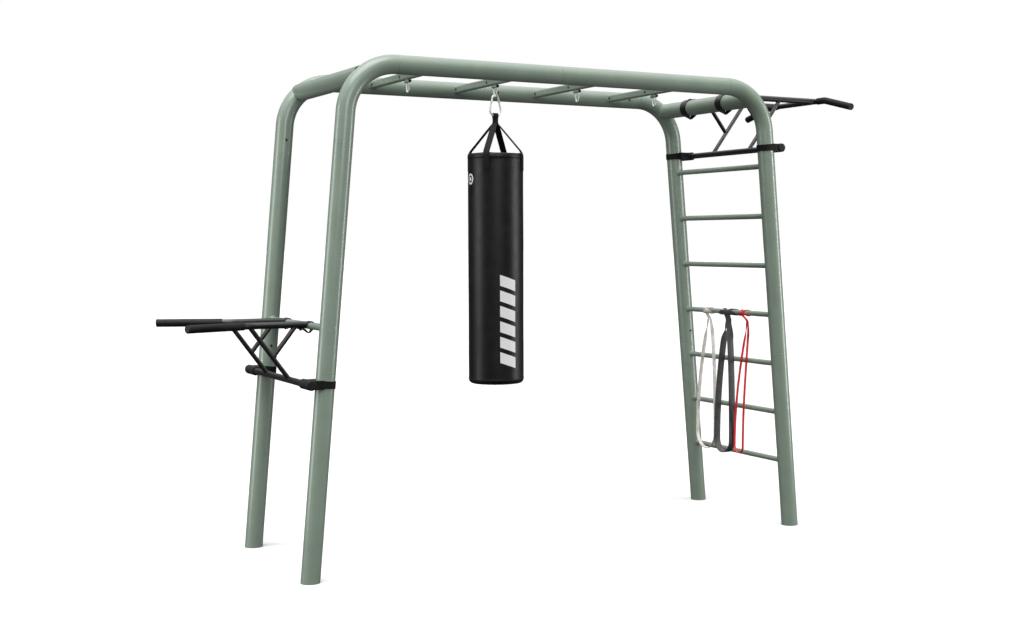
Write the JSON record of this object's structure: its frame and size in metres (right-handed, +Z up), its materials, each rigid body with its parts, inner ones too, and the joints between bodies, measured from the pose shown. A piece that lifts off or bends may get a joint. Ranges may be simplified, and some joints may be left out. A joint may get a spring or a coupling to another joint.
{
  "type": "monkey bars",
  "caption": "Free-standing tube climbing frame with overhead rungs, a ladder end, dip bars, a pull-up bar, a hanging punch bag and resistance bands.",
  "frame": {"origin": "on the floor under the middle of the whole object's box", "axes": "+X along the top tubes from the dip-bar end to the ladder end, +Y to the rear, +Z up"},
  "size_m": [3.6662, 1.0109, 2.445],
  "materials": {
    "green_paint": "satin",
    "black_paint": "satin",
    "black_steel": "satin",
    "sleeve_steel": "matte",
    "zinc_steel": "satin",
    "black_plastic": "matte",
    "black_rubber": "matte",
    "black_webbing": "matte",
    "bag_vinyl": "satin",
    "bag_filling": "matte",
    "band_cream": "matte",
    "band_grey": "matte",
    "band_red": "matte"
  },
  "bodies": {
    "frame": {"foot_plugs": "black_plastic", "top_tube_front_left": "green_paint", "corner_front_left": "green_paint", "upper_leg_front_left": "green_paint", "lower_leg_front_left": "green_paint", "top_tube_front_right": "green_paint", "corner_front_right": "green_paint", "upper_leg_front_right": "green_paint", "lower_leg_front_right": "green_paint", "top_tube_rear_left": "green_paint", "corner_rear_left": "green_paint", "upper_leg_rear_left": "green_paint", "lower_leg_rear_left": "green_paint", "top_tube_rear_right": "green_paint", "corner_rear_right": "green_paint", "upper_leg_rear_right": "green_paint", "lower_leg_rear_right": "green_paint", "cross_tube_left": "green_paint", "cross_tube_right": "green_paint", "monkey_rung_1": "green_paint", "monkey_rung_2": "green_paint", "monkey_rung_3": "green_paint", "monkey_rung_4": "green_paint", "rung_plugs": "black_plastic", "ladder_rungs": "green_paint", "dip_rung": "green_paint", "inner_sleeves": "sleeve_steel", "frame_bolts": "black_steel", "hook_lugs": "green_paint", "hook_axles": "black_steel", "dip_bars": "black_paint", "dip_grips": "black_rubber", "dip_hooks": "black_paint", "dip_struts": "black_paint", "dip_crossbar": "black_paint", "pullup_bar": "black_paint", "pullup_arms": "black_paint", "pullup_grips": "black_rubber", "pullup_hooks": "black_paint", "pullup_struts": "black_paint", "pullup_crossbar": "black_paint", "keeper_bolts": "black_steel", "end_blocks": "black_rubber", "leg_straps": "black_webbing"},
    "swing_hook_1": {"swing_hook_1": "zinc_steel"},
    "swing_hook_2": {"swing_hook_2": "zinc_steel"},
    "swing_hook_3": {"swing_hook_3": "zinc_steel"},
    "swing_hook_4": {"swing_hook_4": "zinc_steel"},
    "carabiner": {"carabiner_body": "zinc_steel"},
    "carabiner_gate": {"carabiner_gate": "zinc_steel"},
    "bag_sling": {"bag_sling": "black_webbing"},
    "punch_bag": {"bag_skin": "bag_vinyl", "bag_filling": "bag_filling", "bag_straps": "black_webbing"},
    "band_cream_hitch": {"band_cream_hitch": "band_cream"},
    "band_cream_loop": {"band_cream_loop": "band_cream"},
    "band_grey_hitch": {"band_grey_hitch": "band_grey"},
    "band_grey_loop": {"band_grey_loop": "band_grey"},
    "band_red_hitch": {"band_red_hitch": "band_red"},
    "band_red_loop": {"band_red_loop": "band_red"}
  },
  "joints": [
    {"name": "hook_1_swing", "type": "hinge", "parent": "frame", "child": "swing_hook_1", "pos_m": [-0.65981, -0.07, 2.372], "axis": [0, 1, 0], "range_deg": [-80, 80]},
    {"name": "hook_2_swing", "type": "hinge", "parent": "frame", "child": "swing_hook_2", "pos_m": [-0.17681, -0.07, 2.372], "axis": [0, 1, 0], "range_deg": [-45, 25]},
    {"name": "hook_3_swing", "type": "hinge", "parent": "frame", "child": "swing_hook_3", "pos_m": [0.30619, -0.07, 2.372], "axis": [0, 1, 0], "range_deg": [-80, 80]},
    {"name": "hook_4_swing", "type": "hinge", "parent": "frame", "child": "swing_hook_4", "pos_m": [0.78919, -0.07, 2.372], "axis": [0, 1, 0], "range_deg": [-80, 80]},
    {"name": "carabiner_swing", "type": "hinge", "parent": "swing_hook_2", "child": "carabiner", "pos_m": [-0.17681, -0.07, 2.33], "axis": [1, 0, 0], "range_deg": [-35, 35]},
    {"name": "carabiner_gate_hinge", "type": "hinge", "parent": "carabiner", "child": "carabiner_gate", "pos_m": [-0.15645, -0.07, 2.29725], "axis": [0, 1, 0], "range_deg": [0, 22], "stiffness_Nm_per_rad": 0.05, "springref_deg": -17.19},
    {"name": "bag_swing", "type": "hinge", "parent": "carabiner", "child": "bag_sling", "pos_m": [-0.17681, -0.07, 2.222], "axis": [1, 0, 0], "range_deg": [-25, 25]},
    {"name": "bag_twist", "type": "hinge", "parent": "bag_sling", "child": "punch_bag", "pos_m": [-0.17681, -0.07, 2.196], "axis": [0, 0, 1], "range_deg": [-90, 90], "stiffness_Nm_per_rad": 0.6},
    {"name": "band_cream_slide", "type": "slide", "parent": "frame", "child": "band_cream_hitch", "axis": [0, 1, 0], "range_m": [-0.012, 0.1]},
    {"name": "band_cream_swing", "type": "hinge", "parent": "band_cream_hitch", "child": "band_cream_loop", "pos_m": [1.34398, 0, 1.173], "axis": [0, 1, 0], "range_deg": [-0.5, 60]},
    {"name": "band_grey_slide", "type": "slide", "parent": "frame", "child": "band_grey_hitch", "axis": [0, 1, 0], "range_m": [0, 0.012]},
    {"name": "band_grey_swing", "type": "hinge", "parent": "band_grey_hitch", "child": "band_grey_loop", "pos_m": [1.34398, 0, 1.173], "axis": [0, 1, 0], "range_deg": [-0.5, 60]},
    {"name": "band_red_slide", "type": "slide", "parent": "frame", "child": "band_red_hitch", "axis": [0, 1, 0], "range_m": [-0.18, 0]},
    {"name": "band_red_swing", "type": "hinge", "parent": "band_red_hitch", "child": "band_red_loop", "pos_m": [1.34398, 0, 1.173], "axis": [0, 1, 0], "range_deg": [-0.5, 60]}
  ]
}
